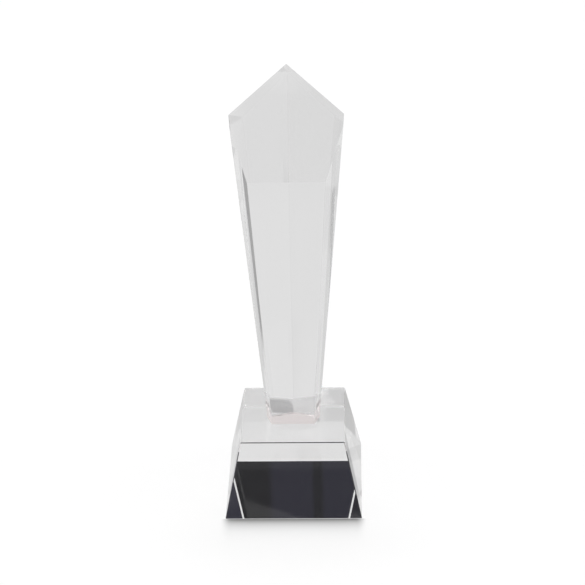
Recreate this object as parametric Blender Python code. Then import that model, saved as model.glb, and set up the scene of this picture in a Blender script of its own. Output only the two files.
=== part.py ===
"""Crystal award: a faceted clear tower, wider at its top, bonded upright to the middle of a clear
block that narrows upwards. Metres, +Z up, front towards -Y, standing on z = 0."""

import math

import bmesh
import bpy

# Base block: a square block whose four sides lean in to a smaller square top.
BASE_FOOT_SIDE = 0.0700
BASE_TOP_SIDE = 0.0530
BASE_HEIGHT = 0.0410
BASE_BEVEL = 0.0001

# Clear adhesive between the two crystals. The clearance keeps touching solids apart.
BOND_THICKNESS = 0.0003
BOND_INSET = 0.0004
CLEARANCE = 0.0003

# Tower foot: a flat front, a corner facet and a short side facet on each hand, and two back
# facets that meet in a ridge. Each facet is a plane, so its plan direction never changes.
FOOT_FRONT_WIDTH = 0.0218
FOOT_WIDTH = 0.0271
FOOT_DEPTH = 0.0176
CORNER_FACET_TURN = math.radians(20.0)
BACK_FACET_TURN = math.radians(30.0)

# How the tower widens with height: each angle is measured from the vertical.
DEPTH_FLARE = math.radians(4.0)
SIDE_FLARE = math.radians(4.87)
FRONT_EDGE_FLARE = math.radians(3.17)

# The top is one sloping facet that starts at a level line across the front.
SLOPE_START_HEIGHT = 0.1417
SLOPE_ANGLE = math.radians(47.4)
TOWER_BEVEL = 0.00003

GLASS_IOR = 1.517
ADHESIVE_IOR = 1.48


def clear_scene():
    for thing in list(bpy.data.objects):
        bpy.data.objects.remove(thing, do_unlink=True)


def clear_material(name, colour, roughness, ior):
    """A transmissive material; colour is linear RGB."""
    material = bpy.data.materials.new(name)
    material.use_nodes = True
    shader = material.node_tree.nodes["Principled BSDF"]
    shader.inputs["Base Color"].default_value = (*colour, 1.0)
    shader.inputs["Metallic"].default_value = 0.0
    shader.inputs["Roughness"].default_value = roughness
    shader.inputs["IOR"].default_value = ior
    shader.inputs["Transmission Weight"].default_value = 1.0
    return material


def add_solid(name, mesh_builder, height, material):
    """One closed solid as its own object, standing at a height on the centre line."""
    shape = bmesh.new()
    mesh_builder(shape)
    bmesh.ops.recalc_face_normals(shape, faces=shape.faces)
    mesh = bpy.data.meshes.new(name)
    shape.to_mesh(mesh)
    shape.free()
    mesh.materials.append(material)
    solid = bpy.data.objects.new(name, mesh)
    solid.location = (0.0, 0.0, height)
    bpy.context.scene.collection.objects.link(solid)
    return solid


def polish_edges(solid, width):
    """The narrow flat that a polisher leaves along every edge."""
    bevel = solid.modifiers.new("polished_edges", "BEVEL")
    bevel.width = width
    bevel.segments = 1
    bevel.limit_method = "NONE"


def raise_outline(shape, outline):
    """Extrudes a level outline and returns the pairs of its lower and upper corners."""
    lower = [shape.verts.new((x, y, 0.0)) for x, y in outline]
    foot = shape.faces.new(lower)
    raised = bmesh.ops.extrude_face_region(shape, geom=[foot], use_keep_orig=True)
    upper = [part for part in raised["geom"] if isinstance(part, bmesh.types.BMVert)]
    upper.sort(key=lambda corner: nearest_index(corner, lower))
    return list(zip(lower, upper))


def nearest_index(corner, candidates):
    distances = [(corner.co - candidate.co).length for candidate in candidates]
    return distances.index(min(distances))


def base_block(shape):
    half = BASE_FOOT_SIDE / 2
    square = [(-half, -half), (half, -half), (half, half), (-half, half)]
    narrowing = BASE_TOP_SIDE / BASE_FOOT_SIDE
    for lower, upper in raise_outline(shape, square):
        upper.co = (lower.co.x * narrowing, lower.co.y * narrowing, BASE_HEIGHT)


def tower_outline(height):
    """The tower's level section, anticlockwise from above, front left corner first."""
    half_front = FOOT_FRONT_WIDTH / 2 + height * math.tan(FRONT_EDGE_FLARE)
    half_width = FOOT_WIDTH / 2 + height * math.tan(SIDE_FLARE)
    half_depth = FOOT_DEPTH / 2 + height * math.tan(DEPTH_FLARE)
    shoulder = (half_width - half_front) / math.tan(CORNER_FACET_TURN) - half_depth
    heel = half_depth - half_width * math.tan(BACK_FACET_TURN)
    return [
        (-half_front, -half_depth),
        (half_front, -half_depth),
        (half_width, shoulder),
        (half_width, heel),
        (0.0, half_depth),
        (-half_width, heel),
        (-half_width, shoulder),
    ]


def slope_crossing(foot_corner, unit_corner):
    """Where the edge line through a corner, given at heights 0 and 1, meets the sloping top."""
    step_x = unit_corner[0] - foot_corner[0]
    step_y = unit_corner[1] - foot_corner[1]
    start_y = tower_outline(SLOPE_START_HEIGHT)[0][1]
    rise = math.tan(SLOPE_ANGLE)
    height = (SLOPE_START_HEIGHT + rise * (foot_corner[1] - start_y)) / (1.0 - rise * step_y)
    return (foot_corner[0] + height * step_x, foot_corner[1] + height * step_y, height)


def tower_block(shape):
    foot = tower_outline(0.0)
    one_up = tower_outline(1.0)
    corners = raise_outline(shape, foot)
    for (lower, upper), foot_corner, unit_corner in zip(corners, foot, one_up):
        upper.co = slope_crossing(foot_corner, unit_corner)


def bond_sheet(shape):
    shrink = 1.0 - 2.0 * BOND_INSET / FOOT_DEPTH
    outline = [(x * shrink, y * shrink) for x, y in tower_outline(0.0)]
    for lower, upper in raise_outline(shape, outline):
        upper.co = (lower.co.x, lower.co.y, BOND_THICKNESS)


def build():
    clear_scene()
    crystal = (0.97, 0.98, 0.985)
    adhesive = (0.93, 0.89, 0.86)

    base = add_solid(
        "crystal_base", base_block, 0.0, clear_material("base_crystal", crystal, 0.0, GLASS_IOR)
    )
    polish_edges(base, BASE_BEVEL)

    bond_height = BASE_HEIGHT + CLEARANCE
    add_solid(
        "bond_film", bond_sheet, bond_height, clear_material("adhesive", adhesive, 0.25, ADHESIVE_IOR)
    )

    tower_height = bond_height + BOND_THICKNESS + CLEARANCE
    tower = add_solid(
        "crystal_tower", tower_block, tower_height, clear_material("tower_crystal", crystal, 0.0, GLASS_IOR)
    )
    polish_edges(tower, TOWER_BEVEL)


build()
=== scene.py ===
"""Crystal award: the looks of a faceted tower bonded to a clear block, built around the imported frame."""

import math

import bpy
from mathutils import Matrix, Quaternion, Vector


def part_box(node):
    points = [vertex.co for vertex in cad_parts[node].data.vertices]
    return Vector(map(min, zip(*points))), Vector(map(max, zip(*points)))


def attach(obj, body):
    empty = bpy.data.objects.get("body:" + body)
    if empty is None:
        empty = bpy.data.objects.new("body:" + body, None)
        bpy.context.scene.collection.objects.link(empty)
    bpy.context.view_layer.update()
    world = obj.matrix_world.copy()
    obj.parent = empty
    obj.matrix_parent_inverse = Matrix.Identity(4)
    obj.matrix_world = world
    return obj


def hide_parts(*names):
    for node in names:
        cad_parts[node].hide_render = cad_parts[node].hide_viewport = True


bl_info = {
    "name": "Crystal Award",
    "version": (1, 0, 0),
    "blender": (4, 5, 0),
    "location": "View3D > Sidebar > Award",
    "description": "Cuts, polishes and bonds a faceted crystal award and lights it in a small studio",
    "category": "Add Mesh",
}

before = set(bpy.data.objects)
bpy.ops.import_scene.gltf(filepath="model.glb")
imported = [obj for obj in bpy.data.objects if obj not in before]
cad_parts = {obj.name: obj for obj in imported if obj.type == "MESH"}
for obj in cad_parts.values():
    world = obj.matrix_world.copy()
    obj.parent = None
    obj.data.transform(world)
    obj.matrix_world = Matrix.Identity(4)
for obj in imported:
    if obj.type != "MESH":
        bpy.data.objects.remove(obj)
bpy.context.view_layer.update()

MM = 0.001
DEGREES = 180 / math.pi

# Cutting. A CAD facet smaller than a broad one is only the flat along an edge.
BROAD_FACET = 150 * MM * MM
SAME_FACING = 0.99999
LEVEL = 0.99
SKIN = 0.01 * MM
BLANK_ALLOWANCE = 1.2
BEAD_ALLOWANCE = 1.2
SAW_TOLERANCE = 1e-7
SPLIT_FACET_ANGLE = math.radians(0.05)

# Clear stock. Where adhesive wets a crystal, light goes straight on, as if the index were one.
CRYSTAL_IOR = 1.517
ADHESIVE_IOR = 1.48
WETTED_IOR = 1.0
STREAK_STRETCH = (1.0, 1.0, 0.25)
STREAK_DETAIL = 3.0
WAVE_DETAIL = 1.0
WIPING_DETAIL = 5.0

# Studio light.
WALL_LIGHT = 0.80
RIGHT_BOX_LIGHT = 0.9
LEFT_BOX_LIGHT = 0.4
FRONT_BOX_LIGHT = 0.25
TOP_BOX_LIGHT = 17.0
CURTAIN_LIGHT = 0.0225
WALL_COLOUR = (0.8, 0.8, 0.8, 1.0)
CURTAIN_COLOUR = (0.54, 0.52, 1.0, 1.0)
WHITE = (1.0, 1.0, 1.0, 1.0)

# Light table. The award gets TABLE_GLOW, and the camera sees SEEN_GLOW on a surface of TABLE_BESIDE.
TABLE_GLOW = 0.79
SEEN_GLOW = 0.775
TABLE_BESIDE = 0.24
TABLE_SIZE = 12.0
TABLE_DROP = 0.1 * MM
BASE_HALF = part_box("crystal_base")[1].x
# How fast the painted shadow in front of the foot fades.
PAINTED_SHADOW_FALL = 5.2 * MM

# Camera.
CAMERA_DISTANCE = 1.0766
CAMERA_ELEVATION = math.radians(34.41)
CAMERA_AZIMUTH = math.radians(2.07)
CAMERA_ROLL = math.radians(-1.43)
CAMERA_AIM = Vector((0.00105, 0.0, 0.11326))
CAMERA_LENS = 125.0
CAMERA_SENSOR = 36.0

# Light is reflected inside a cut crystal many times before it leaves.
MOST_BOUNCES = 40
MOST_CRYSTAL_BOUNCES = 32


class AwardSizes(bpy.types.PropertyGroup):
    base_side_edge: bpy.props.FloatProperty(
        name="Base side edge", description="Width of the flat polished along the four leaning edges",
        default=0.65 * MM, min=0.0, subtype="DISTANCE", unit="LENGTH",
    )
    base_top_edge: bpy.props.FloatProperty(
        name="Base top edge", description="Width of the flat polished around the base's top",
        default=0.5 * MM, min=0.0, subtype="DISTANCE", unit="LENGTH",
    )
    base_foot_edge: bpy.props.FloatProperty(
        name="Base foot edge", description="Width of the flat polished around the base's underside",
        default=0.14 * MM, min=0.0, subtype="DISTANCE", unit="LENGTH",
    )
    tower_edge: bpy.props.FloatProperty(
        name="Tower edge", description="Width of the flat polished along the tower's edges",
        default=0.08 * MM, min=0.0, subtype="DISTANCE", unit="LENGTH",
    )
    ridge_edge: bpy.props.FloatProperty(
        name="Ridge edge", description="Width of the flat polished along the tower's back ridge",
        default=0.03 * MM, min=0.0, subtype="DISTANCE", unit="LENGTH",
    )
    bond_bead: bpy.props.FloatProperty(
        name="Bond bead", description="How far the squeezed-out adhesive stands proud of the tower's foot",
        default=0.35 * MM, min=0.0, subtype="DISTANCE", unit="LENGTH",
    )
    bond_bite: bpy.props.FloatProperty(
        name="Bond bite", description="How far the adhesive reaches into each crystal's skin",
        default=0.02 * MM, min=0.0, subtype="DISTANCE", unit="LENGTH",
    )
    base_waves: bpy.props.FloatProperty(
        name="Base waves", description="Height of the faint waves that polishing leaves on the base",
        default=0.003 * MM, min=0.0, precision=6, subtype="DISTANCE", unit="LENGTH",
    )
    tower_waves: bpy.props.FloatProperty(
        name="Tower waves", description="Height of the faint waves that polishing leaves on the tower",
        default=0.002 * MM, min=0.0, precision=6, subtype="DISTANCE", unit="LENGTH",
    )
    bead_waves: bpy.props.FloatProperty(
        name="Bead waves", description="Height of the ripples in the cured adhesive",
        default=0.004 * MM, min=0.0, precision=6, subtype="DISTANCE", unit="LENGTH",
    )


class AwardColours(bpy.types.PropertyGroup):
    crystal: bpy.props.FloatVectorProperty(
        name="Crystal", description="Tint of light that has crossed the crystal",
        default=(0.994, 0.992, 0.993), min=0.0, max=1.0, size=3, subtype="COLOR",
    )
    adhesive: bpy.props.FloatVectorProperty(
        name="Adhesive", description="Tint of the cured adhesive",
        default=(0.965, 0.905, 0.90), min=0.0, max=1.0, size=3, subtype="COLOR",
    )
    floor: bpy.props.FloatVectorProperty(
        name="Table", description="What the light table sends back into the award, besides its own glow",
        default=(0.1, 0.1, 0.1), min=0.0, max=1.0, size=3, subtype="COLOR",
    )


# ---------------------------------------------------------------- cutting and polishing

def facets_of(node, least_area):
    """(point, outward normal) of each facet of a CAD node above an area; its mesh is loose triangles."""
    found = {}
    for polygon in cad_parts[node].data.polygons:
        normal = polygon.normal
        key = next((k for k in found if k.dot(normal) > SAME_FACING), normal.copy().freeze())
        area, centre = found.get(key, (0.0, Vector()))
        found[key] = (area + polygon.area, centre + polygon.center * polygon.area)
    return [(centre / area, key) for key, (area, centre) in found.items() if area > least_area]


def foot_sides():
    """(point, level outward normal) of each side of the tower's foot, where its facets reach the foot."""
    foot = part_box("crystal_tower")[0].z
    sides = []
    for point, normal in facets_of("crystal_tower", BROAD_FACET):
        leaning_side = abs(normal.z) < 0.5
        if leaning_side:
            level = Vector((normal.x, normal.y, 0.0))
            reach = normal.z * (foot - point.z) / level.length
            level.normalize()
            sides.append((Vector((point.x, point.y, foot)) - level * reach, level))
    return sides


def bond_outline(bead):
    """(point, outward normal) of each side of the adhesive, a bead's width outside the tower's foot."""
    return [(point + normal * bead, normal) for point, normal in foot_sides()]


def active_piece():
    return bpy.context.view_layer.objects.active


def start_blank(name, node):
    """A saw-cut blank a little larger than a CAD node, active and in edit mode."""
    low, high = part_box(node)
    bpy.ops.object.select_all(action="DESELECT")
    size = (high - low) * BLANK_ALLOWANCE
    bpy.ops.mesh.primitive_cube_add(size=1.0, location=(low + high) / 2, scale=size)
    bpy.ops.object.transform_apply(location=True, rotation=True, scale=True)
    piece = active_piece()
    piece.name = name
    piece.data.name = name
    bpy.ops.object.mode_set(mode="EDIT")
    return piece


def saw(point, normal):
    """Cuts the piece in edit mode along a plane and keeps what lies behind it."""
    bpy.ops.mesh.select_all(action="SELECT")
    bpy.ops.mesh.bisect(
        plane_co=point, plane_no=normal, use_fill=True, clear_outer=True, threshold=SAW_TOLERANCE,
    )


def clean_cuts():
    """Merges the flat faces that the saw left split and turns every face outwards."""
    bpy.ops.mesh.select_all(action="SELECT")
    bpy.ops.mesh.dissolve_limited(angle_limit=SPLIT_FACET_ANGLE)
    bpy.ops.mesh.select_all(action="SELECT")
    bpy.ops.mesh.normals_make_consistent(inside=False)


def saw_block(name, node, least_area):
    """A blank sawn along each broad facet of a CAD node, standing for that node."""
    piece = start_blank(name, node)
    for point, normal in facets_of(node, least_area):
        saw(point, normal)
    clean_cuts()
    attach(piece, "root")
    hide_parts(node)
    return piece


def polish_edges(piece, width_of):
    """Polishes a flat along each edge, as wide as width_of says for the edge's middle."""
    bpy.ops.object.mode_set(mode="OBJECT")
    mesh = piece.data
    widths = []
    for edge in mesh.edges:
        start, stop = (mesh.vertices[index].co for index in edge.vertices)
        widths.append(width_of((start + stop) / 2))
    widest = max(widths)
    weights = mesh.attributes.new("bevel_weight_edge", "FLOAT", "EDGE")
    weights.data.foreach_set("value", [width / widest for width in widths])
    bevel = piece.modifiers.new("polish", "BEVEL")
    bevel.width = widest
    bevel.segments = 1
    bevel.limit_method = "WEIGHT"
    bevel.offset_type = "WIDTH"
    bpy.ops.object.modifier_apply(modifier=bevel.name)
    bpy.ops.object.shade_flat()


def lies_at(polygon, height):
    """Whether a face is level, faces up and lies at a height."""
    return polygon.normal.z > LEVEL and abs(polygon.center.z - height) < SKIN


def mark_bonded_area(piece, top, bead):
    """Splits the base's top along the bond's outline and gives the part inside it the bonded finish."""
    sides = bond_outline(bead)
    bpy.ops.object.mode_set(mode="EDIT")
    bpy.ops.mesh.select_mode(type="FACE")
    for point, normal in sides:
        bpy.ops.mesh.select_all(action="DESELECT")
        bpy.ops.object.mode_set(mode="OBJECT")
        for polygon in piece.data.polygons:
            polygon.select = lies_at(polygon, top)
        bpy.ops.object.mode_set(mode="EDIT")
        bpy.ops.mesh.bisect(plane_co=point, plane_no=normal, threshold=SAW_TOLERANCE)
    bpy.ops.object.mode_set(mode="OBJECT")
    for polygon in piece.data.polygons:
        inside = all((polygon.center - point).dot(normal) < 0 for point, normal in sides)
        polygon.material_index = int(lies_at(polygon, top) and inside)


# ---------------------------------------------------------------- shader nodes

def new_material(name):
    material = bpy.data.materials.new(name)
    material.use_nodes = True
    return material, material.node_tree.nodes["Principled BSDF"], material.node_tree


def add_node(tree, kind, label="", **values):
    node = tree.nodes.new(kind)
    node.label = label
    for name, value in values.items():
        setattr(node, name, value)
    return node


def ramp(tree, value, start, stop, low=0.0, high=1.0, label=""):
    """A smooth step from low to high while the value goes from start to stop."""
    node = add_node(tree, "ShaderNodeMapRange", label, interpolation_type="SMOOTHSTEP")
    tree.links.new(value, node.inputs["Value"])
    node.inputs["From Min"].default_value = start
    node.inputs["From Max"].default_value = stop
    node.inputs["To Min"].default_value = low
    node.inputs["To Max"].default_value = high
    return node.outputs["Result"]


def arithmetic(tree, operation, first, second=None, label=""):
    """A Math node on one or two values, each a number or a socket."""
    node = add_node(tree, "ShaderNodeMath", label, operation=operation)
    for socket, value in zip(node.inputs, (first, second)):
        if value is None:
            continue
        if isinstance(value, (int, float)):
            socket.default_value = value
        else:
            tree.links.new(value, socket)
    return node.outputs["Value"]


def product(tree, values, label=""):
    result = values[0]
    for value in values[1:]:
        result = arithmetic(tree, "MULTIPLY", result, value, label)
    return result


def total(tree, values, label=""):
    result = values[0]
    for value in values[1:]:
        result = arithmetic(tree, "ADD", result, value, label)
    return result


def less(tree, value, share):
    """What is left of one after a share of the value is taken off it."""
    return arithmetic(tree, "SUBTRACT", 1.0, arithmetic(tree, "MULTIPLY", value, share))


def between(tree, value, low_edge, high_edge, label=""):
    """One while the value lies between two soft edges, each given as (start, stop), and nought outside."""
    rising = ramp(tree, value, *low_edge, label=label)
    return product(tree, (rising, ramp(tree, value, *high_edge, low=1.0, high=0.0)), label)


def cloud(tree, place, scale, detail, label):
    """Soft noise from nought to one, at a scale given by a socket."""
    node = add_node(tree, "ShaderNodeTexNoise", label)
    node.inputs["Detail"].default_value = detail
    tree.links.new(place, node.inputs["Vector"])
    tree.links.new(scale, node.inputs["Scale"])
    return node.outputs["Fac"]


# ---------------------------------------------------------------- clear materials

def polish_group():
    """What polishing and casting leave in clear stock: faint waves, faint streaks and a trace of haze."""
    found = bpy.data.node_groups.get("Clear polish")
    if found:
        return found
    tree = bpy.data.node_groups.new("Clear polish", "ShaderNodeTree")
    taken = ("Streak depth", "Streak scale", "Wave height", "Wave scale", "Haze")
    given_out = ("Roughness", "Height")
    for direction, numbers in (("INPUT", taken), ("OUTPUT", given_out)):
        tree.interface.new_socket("Colour", in_out=direction, socket_type="NodeSocketColor")
        for name in numbers:
            tree.interface.new_socket(name, in_out=direction, socket_type="NodeSocketFloat")
    given = add_node(tree, "NodeGroupInput").outputs
    result = add_node(tree, "NodeGroupOutput").inputs
    place = add_node(tree, "ShaderNodeTexCoord").outputs["Object"]
    drawn_out = add_node(tree, "ShaderNodeMapping", "streaks run upwards")
    drawn_out.inputs["Scale"].default_value = STREAK_STRETCH
    tree.links.new(place, drawn_out.inputs["Vector"])
    streaks = cloud(tree, drawn_out.outputs["Vector"], given["Streak scale"], STREAK_DETAIL, "streaks")
    tint = add_node(tree, "ShaderNodeHueSaturation", "streaked colour")
    tree.links.new(given["Colour"], tint.inputs["Color"])
    shallow = arithmetic(tree, "MULTIPLY", streaks, given["Streak depth"])
    tree.links.new(arithmetic(tree, "SUBTRACT", 1.0, shallow), tint.inputs["Value"])
    tree.links.new(tint.outputs["Color"], result["Colour"])
    waves = cloud(tree, place, given["Wave scale"], WAVE_DETAIL, "polishing waves")
    tree.links.new(arithmetic(tree, "MULTIPLY", waves, given["Wave height"]), result["Height"])
    wiping = cloud(tree, place, given["Streak scale"], WIPING_DETAIL, "wiping marks")
    wiped = ramp(tree, wiping, 0.5, 0.75)
    tree.links.new(arithmetic(tree, "MULTIPLY", wiped, given["Haze"]), result["Roughness"])
    return tree


def clear_finish(name, colour, ior, polish):
    """A clear material; polish gives the polish group's inputs, and without waves or haze it's smooth."""
    material, shader, tree = new_material(name)
    shader.inputs["Metallic"].default_value = 0.0
    shader.inputs["Roughness"].default_value = 0.0
    shader.inputs["IOR"].default_value = ior
    shader.inputs["Transmission Weight"].default_value = 1.0
    group = add_node(tree, "ShaderNodeGroup", "polish", node_tree=polish_group())
    group.inputs["Colour"].default_value = (*colour, 1.0)
    for socket, value in polish.items():
        group.inputs[socket].default_value = value
    tree.links.new(group.outputs["Colour"], shader.inputs["Base Color"])
    if "Haze" in polish:
        tree.links.new(group.outputs["Roughness"], shader.inputs["Roughness"])
    if "Wave height" in polish:
        bump = add_node(tree, "ShaderNodeBump", "polishing waves")
        bump.inputs["Distance"].default_value = 1.0
        tree.links.new(group.outputs["Height"], bump.inputs["Height"])
        tree.links.new(bump.outputs["Normal"], shader.inputs["Normal"])
    return material


def crystal_material(name, colour, waves):
    polish = {
        "Streak depth": 0.006, "Streak scale": 35.0, "Haze": 0.008,
        "Wave height": waves, "Wave scale": 45.0,
    }
    return clear_finish(name, colour, CRYSTAL_IOR, polish)


def bonded_material(name, colour):
    """The crystal's skin where adhesive of nearly its own index wets it: nothing is bent or reflected."""
    return clear_finish(name, colour, WETTED_IOR, {"Streak depth": 0.006, "Streak scale": 35.0})


def adhesive_material(name, colour, ior, waves):
    polish = {
        "Streak depth": 0.03, "Streak scale": 400.0, "Haze": 0.03,
        "Wave height": waves, "Wave scale": 600.0,
    }
    return clear_finish(name, colour, ior, polish)


# ---------------------------------------------------------------- the three pieces

class AWARD_OT_base(bpy.types.Operator):
    """Cut and polish the crystal block that the tower stands on"""

    bl_idname = "award.base"
    bl_label = "Cut the base block"

    def execute(self, context):
        sizes, colours = context.scene.award_sizes, context.scene.award_colours
        low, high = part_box("crystal_base")

        def width_of(middle):
            if low.z + MM < middle.z < high.z - MM:
                return sizes.base_side_edge
            return sizes.base_top_edge if middle.z > (low.z + high.z) / 2 else sizes.base_foot_edge

        piece = saw_block("base_block", "crystal_base", BROAD_FACET)
        polish_edges(piece, width_of)
        piece.data.materials.append(crystal_material("Base crystal", colours.crystal, sizes.base_waves))
        piece.data.materials.append(bonded_material("Base crystal under the bond", colours.crystal))
        mark_bonded_area(piece, high.z, sizes.bond_bead)
        return {"FINISHED"}


class AWARD_OT_tower(bpy.types.Operator):
    """Cut and polish the faceted tower"""

    bl_idname = "award.tower"
    bl_label = "Cut the tower"

    def execute(self, context):
        sizes, colours = context.scene.award_sizes, context.scene.award_colours
        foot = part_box("crystal_tower")[0].z

        def width_of(middle):
            on_ridge = abs(middle.x) < MM and middle.y > 0
            return sizes.ridge_edge if on_ridge else sizes.tower_edge

        piece = saw_block("tower", "crystal_tower", BROAD_FACET)
        polish_edges(piece, width_of)
        piece.data.materials.append(crystal_material("Tower crystal", colours.crystal, sizes.tower_waves))
        piece.data.materials.append(bonded_material("Tower crystal at the bond", colours.crystal))
        for polygon in piece.data.polygons:
            if polygon.normal.z < -LEVEL and polygon.center.z < foot + SKIN:
                polygon.material_index = 1
        return {"FINISHED"}


class AWARD_OT_bond(bpy.types.Operator):
    """Lay the adhesive between the two crystals"""

    bl_idname = "award.bond"
    bl_label = "Lay the adhesive"

    def execute(self, context):
        sizes, colours = context.scene.award_sizes, context.scene.award_colours
        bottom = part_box("crystal_base")[1].z - sizes.bond_bite
        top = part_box("crystal_tower")[0].z + sizes.bond_bite
        piece = start_blank("adhesive_bond", "bond_film")
        low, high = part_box("bond_film")
        centre = (low + high) / 2
        stretch = (top - bottom) / ((high.z - low.z) * BLANK_ALLOWANCE)
        bpy.ops.mesh.select_all(action="SELECT")
        bpy.ops.transform.resize(value=(BEAD_ALLOWANCE, BEAD_ALLOWANCE, stretch), center_override=centre)
        bpy.ops.transform.translate(value=(0, 0, (top + bottom) / 2 - centre.z))
        for point, normal in bond_outline(sizes.bond_bead):
            saw(point, normal)
        clean_cuts()
        bpy.ops.object.mode_set(mode="OBJECT")
        for polygon in piece.data.polygons:
            polygon.select = polygon.normal.z > LEVEL
        bpy.ops.object.mode_set(mode="EDIT")
        bpy.ops.mesh.inset(thickness=sizes.bond_bead, use_boundary=True)
        bpy.ops.object.mode_set(mode="OBJECT")
        bpy.ops.object.shade_flat()
        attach(piece, "root")
        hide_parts("bond_film")
        for name, ior in (("Adhesive bead", ADHESIVE_IOR), ("Adhesive in contact", WETTED_IOR)):
            piece.data.materials.append(adhesive_material(name, colours.adhesive, ior, sizes.bead_waves))
        for polygon in piece.data.polygons:
            under_tower = polygon.select and polygon.normal.z > LEVEL
            on_base = polygon.normal.z < -LEVEL
            polygon.material_index = int(under_tower or on_base)
        return {"FINISHED"}


# ---------------------------------------------------------------- studio

def heading(tree):
    """A direction's height, its turn to the right of straight behind, and that turn's size, in degrees."""
    where = add_node(tree, "ShaderNodeTexCoord")
    split = add_node(tree, "ShaderNodeSeparateXYZ")
    tree.links.new(where.outputs["Generated"], split.inputs["Vector"])
    x, y, z = (split.outputs[k] for k in "XYZ")
    height = arithmetic(tree, "MULTIPLY", arithmetic(tree, "ARCSINE", z), DEGREES, "height")
    turn = arithmetic(tree, "MULTIPLY", arithmetic(tree, "ARCTAN2", x, y), DEGREES, "turn")
    return height, turn, arithmetic(tree, "ABSOLUTE", turn, label="turn's size")


def wall_light(tree, height, turn, away, dark_room):
    """White walls, dimmer high at the sides and in a thin ledge on the left, and dark behind the table."""
    dim_room = product(tree, (between(tree, height, (44, 50), (66, 74)), ramp(tree, away, 105, 125)))
    ledge_band = between(tree, height, (19.0, 20.8), (21.4, 21.6))
    left_ledge = product(tree, (ledge_band, ramp(tree, turn, -60, -80)))
    kept = (less(tree, dark_room, 1.0), less(tree, dim_room, 0.6), less(tree, left_ledge, 0.3))
    return product(tree, (*kept, WALL_LIGHT))


def soft_box_light(tree, height, turn, away):
    """Soft boxes at the right and the left, one high over the back and a low one in front."""
    right_band = between(tree, height, (16, 32), (62, 70))
    left_band = between(tree, height, (26, 34), (62, 70))
    front_band = between(tree, height, (21, 24), (31, 35))
    top_band = between(tree, height, (64, 67), (74, 77))
    boxes = (
        product(tree, (right_band, between(tree, turn, (55, 75), (98, 110)), RIGHT_BOX_LIGHT)),
        product(tree, (left_band, between(tree, turn, (-130, -110), (-75, -55)), LEFT_BOX_LIGHT)),
        product(tree, (front_band, between(tree, turn, (-176, -173), (-160, -150)), FRONT_BOX_LIGHT)),
        product(tree, (top_band, ramp(tree, away, 65, 45), TOP_BOX_LIGHT)),
    )
    return total(tree, boxes)


def curtain_light(tree, turn):
    """The dark blue curtain of the room behind the table: faint, with two folds in deep shade."""
    lit = ramp(tree, turn, -3.05, -2.75, low=0.2)
    fold = between(tree, turn, (-1.55, -1.4), (-1.2, -1.05), "fold")
    far = ramp(tree, arithmetic(tree, "ABSOLUTE", turn), 8, 20, high=0.25)
    strength = arithmetic(tree, "ADD", product(tree, (lit, less(tree, fold, 0.7))), far)
    return product(tree, (strength, CURTAIN_LIGHT))


def background(tree, label, colour, strength=None):
    node = add_node(tree, "ShaderNodeBackground", label)
    node.inputs["Color"].default_value = colour
    if strength:
        tree.links.new(strength, node.inputs["Strength"])
    return node.outputs[0]


def studio_world(scene):
    """What lights the award from round about; the camera itself sees plain white beyond the table."""
    world = bpy.data.worlds.new("Studio")
    scene.world = world
    world.use_nodes = True
    tree = world.node_tree
    tree.nodes.clear()
    height, turn, away = heading(tree)
    dark_room = product(tree, (between(tree, height, (24, 27), (64, 68)), ramp(tree, away, 75, 55)))
    walls = wall_light(tree, height, turn, away, dark_room)
    boxes = soft_box_light(tree, height, turn, away)
    curtain = product(tree, (curtain_light(tree, turn), dark_room))
    studio = add_node(tree, "ShaderNodeAddShader")
    white_light = background(tree, "walls and soft boxes", WALL_COLOUR, total(tree, (walls, boxes)))
    tree.links.new(white_light, studio.inputs[0])
    tree.links.new(background(tree, "curtain", CURTAIN_COLOUR, curtain), studio.inputs[1])
    path = add_node(tree, "ShaderNodeLightPath")
    mix = add_node(tree, "ShaderNodeMixShader")
    tree.links.new(path.outputs["Is Camera Ray"], mix.inputs[0])
    tree.links.new(studio.outputs[0], mix.inputs[1])
    tree.links.new(background(tree, "white beyond the table", WHITE), mix.inputs[2])
    out = add_node(tree, "ShaderNodeOutputWorld")
    tree.links.new(mix.outputs[0], out.inputs["Surface"])


def table_place(tree):
    """Sideways and depth coordinates on the table, in metres."""
    where = add_node(tree, "ShaderNodeTexCoord")
    split = add_node(tree, "ShaderNodeSeparateXYZ")
    tree.links.new(where.outputs["Object"], split.inputs["Vector"])
    return split.outputs["X"], split.outputs["Y"]


def across(tree, value, low_edge, high_edge):
    """Like between, for edges given in millimetres."""
    low_edge, high_edge = ([mark * MM for mark in edge] for edge in (low_edge, high_edge))
    return between(tree, value, low_edge, high_edge)


def past(tree, value, start, stop):
    """Like ramp, for edges given in millimetres."""
    return ramp(tree, value, start * MM, stop * MM)


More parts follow.
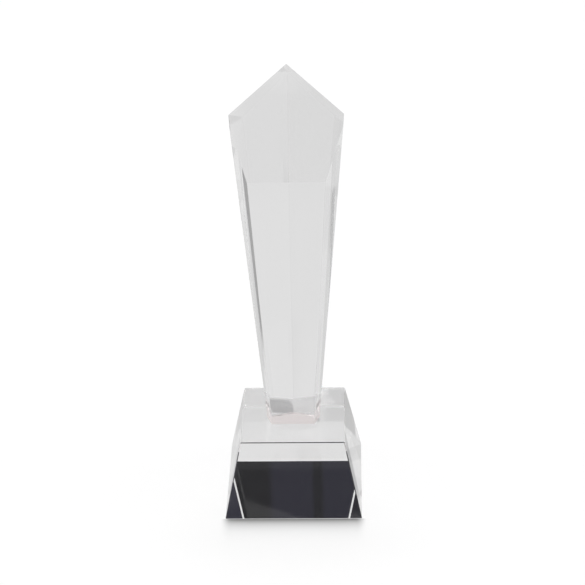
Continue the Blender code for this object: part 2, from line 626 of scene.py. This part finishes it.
def table_glow(tree):
    """The table's glow, painted brighter under the base and dimmed by painted shade in strips, sectors and
    behind the foot; each painted shade takes off a share.
    """
    x, y = table_place(tree)
    sideways = arithmetic(tree, "ABSOLUTE", x)
    outwards = arithmetic(tree, "MAXIMUM", sideways, arithmetic(tree, "ABSOLUTE", y))
    # Painted light: the glow is brighter under the base than beside it.
    under = ramp(tree, outwards, 34.5 * MM, 36.5 * MM, low=0.93, high=0.85)
    bearing = arithmetic(tree, "MULTIPLY", arithmetic(tree, "ARCTAN2", x, y), DEGREES)
    reach = arithmetic(tree, "SQRT", total(tree, (product(tree, (x, x)), product(tree, (y, y)))))

    # Painted shade: strips, a corner, the left half and sectors of the glow are dimmed to darken what the
    # crystal reflects and shows through it.
    middle = less(tree, past(tree, sideways, 90, 120), 1.0)
    near_strip = product(tree, (middle, past(tree, y, -35, -37)))
    far_strip = product(tree, (middle, past(tree, y, -240, -320)))
    near_corner = product(tree, (past(tree, x, 150, 180), past(tree, y, -200, -230)))
    left_half = past(tree, x, -30, -90)

    off_axis = between(tree, arithmetic(tree, "ABSOLUTE", bearing), (22, 26), (45, 60))
    side_shade = product(tree, (off_axis, across(tree, reach, (60, 100), (215, 240))))
    wedge_sector = between(tree, bearing, (34.6, 35.3), (37.5, 38.5))
    far_wedge = product(tree, (wedge_sector, past(tree, reach, 165, 235)))
    patch_sector = between(tree, bearing, (37.5, 38.5), (43, 46))
    far_patch = product(tree, (patch_sector, across(tree, reach, (225, 265), (322, 330))))

    # Painted shadow of the tower on the table behind the foot, darkest behind the neck and to the right.
    painted_shadow_behind_foot = across(tree, y, (19, 22), (33, 35))
    painted_neck_shadow = product(tree, (across(tree, x, (1.0, 2.4), (12.6, 13.4)), painted_shadow_behind_foot))
    painted_right_shadow = product(tree, (past(tree, x, 14, 18), painted_shadow_behind_foot))

    # Each painted shade or shadow, with the share of the glow it takes off.
    painted_shades = (
        (near_strip, 0.5), (far_strip, 0.8), (near_corner, 0.25), (left_half, 0.03),
        (side_shade, 0.06), (far_wedge, 0.85), (far_patch, 0.25),
        (painted_shadow_behind_foot, 0.06), (painted_neck_shadow, 0.35), (painted_right_shadow, 0.10),
    )
    return product(tree, (under, *(less(tree, shade, share) for shade, share in painted_shades), TABLE_GLOW))


def painted_contact_shadow(tree):
    """The painted shadow on the table along the foot's front edge, from nought to one."""
    x, y = table_place(tree)
    out = arithmetic(tree, "SUBTRACT", -BASE_HALF, y, "distance in front of the foot")
    ahead = arithmetic(tree, "MAXIMUM", out, 0.0)
    fall = arithmetic(tree, "EXPONENT", arithmetic(tree, "DIVIDE", ahead, -PAINTED_SHADOW_FALL))
    beside = less(tree, past(tree, arithmetic(tree, "ABSOLUTE", x), 32, 38), 1.0)
    return product(tree, (fall, beside, past(tree, out, 0.0, 0.01)))


def light_table(colour):
    """A white table, lit softly from within, so that it's as bright under the crystal as beside it; its
    glow carries painted light and shade, and the camera sees a painted shadow in front of the foot.
    """
    bpy.ops.object.select_all(action="DESELECT")
    bpy.ops.mesh.primitive_plane_add(size=TABLE_SIZE, location=(0, 0, -TABLE_DROP))
    floor = active_piece()
    floor.name = "floor"
    material, shader, tree = new_material("Light table")
    shader.inputs["Roughness"].default_value = 1.0
    shader.inputs["Specular IOR Level"].default_value = 0.0
    shader.inputs["Emission Color"].default_value = WHITE
    seen = add_node(tree, "ShaderNodeLightPath").outputs["Is Camera Ray"]
    mix = add_node(tree, "ShaderNodeMix", data_type="RGBA")
    tree.links.new(seen, mix.inputs["Factor"])
    mix.inputs["A"].default_value = (*colour, 1.0)
    mix.inputs["B"].default_value = (TABLE_BESIDE, TABLE_BESIDE, TABLE_BESIDE, 1.0)
    tree.links.new(mix.outputs["Result"], shader.inputs["Base Color"])
    glow = product(tree, (less(tree, seen, 1.0), table_glow(tree)))
    # The camera sees the glow with the painted shadow in front of the foot.
    seen_glow = product(tree, (seen, less(tree, painted_contact_shadow(tree), 1.0), SEEN_GLOW))
    tree.links.new(total(tree, (glow, seen_glow)), shader.inputs["Emission Strength"])
    floor.data.materials.append(material)


def studio_camera(scene):
    flat = math.cos(CAMERA_ELEVATION)
    right, front = math.sin(CAMERA_AZIMUTH), -math.cos(CAMERA_AZIMUTH)
    place = Vector((right * flat, front * flat, math.sin(CAMERA_ELEVATION)))
    bpy.ops.object.camera_add(location=place * CAMERA_DISTANCE)
    camera = active_piece()
    camera.name = "camera"
    view = CAMERA_AIM - camera.location
    turn = view.to_track_quat("-Z", "Y") @ Quaternion((0, 0, 1), CAMERA_ROLL)
    camera.rotation_euler = turn.to_euler()
    camera.data.lens = CAMERA_LENS
    camera.data.sensor_width = CAMERA_SENSOR
    camera.data.clip_start = 0.01
    camera.data.clip_end = 50.0
    scene.camera = camera


class AWARD_OT_stage(bpy.types.Operator):
    """Set the table, the studio light and the camera"""

    bl_idname = "award.stage"
    bl_label = "Set the stage"

    def execute(self, context):
        scene = context.scene
        light_table(scene.award_colours.floor)
        studio_world(scene)
        studio_camera(scene)
        scene.view_settings.view_transform = "Standard"
        scene.cycles.max_bounces = MOST_BOUNCES
        scene.cycles.glossy_bounces = MOST_CRYSTAL_BOUNCES
        scene.cycles.transmission_bounces = MOST_CRYSTAL_BOUNCES
        return {"FINISHED"}


# ---------------------------------------------------------------- add-on

class AWARD_PT_panel(bpy.types.Panel):
    bl_label = "Crystal Award"
    bl_idname = "AWARD_PT_panel"
    bl_space_type = "VIEW_3D"
    bl_region_type = "UI"
    bl_category = "Award"

    def draw(self, context):
        for operator in OPERATORS:
            self.layout.operator(operator.bl_idname)


OPERATORS = (AWARD_OT_base, AWARD_OT_tower, AWARD_OT_bond, AWARD_OT_stage)
CLASSES = (AwardSizes, AwardColours, *OPERATORS, AWARD_PT_panel)


def register():
    for item in CLASSES:
        bpy.utils.register_class(item)
    bpy.types.Scene.award_sizes = bpy.props.PointerProperty(type=AwardSizes)
    bpy.types.Scene.award_colours = bpy.props.PointerProperty(type=AwardColours)


def unregister():
    del bpy.types.Scene.award_colours
    del bpy.types.Scene.award_sizes
    for item in reversed(CLASSES):
        bpy.utils.unregister_class(item)


def main():
    register()
    bpy.ops.award.base()
    bpy.ops.award.tower()
    bpy.ops.award.bond()
    bpy.ops.award.stage()


if __name__ == "__main__":
    main()
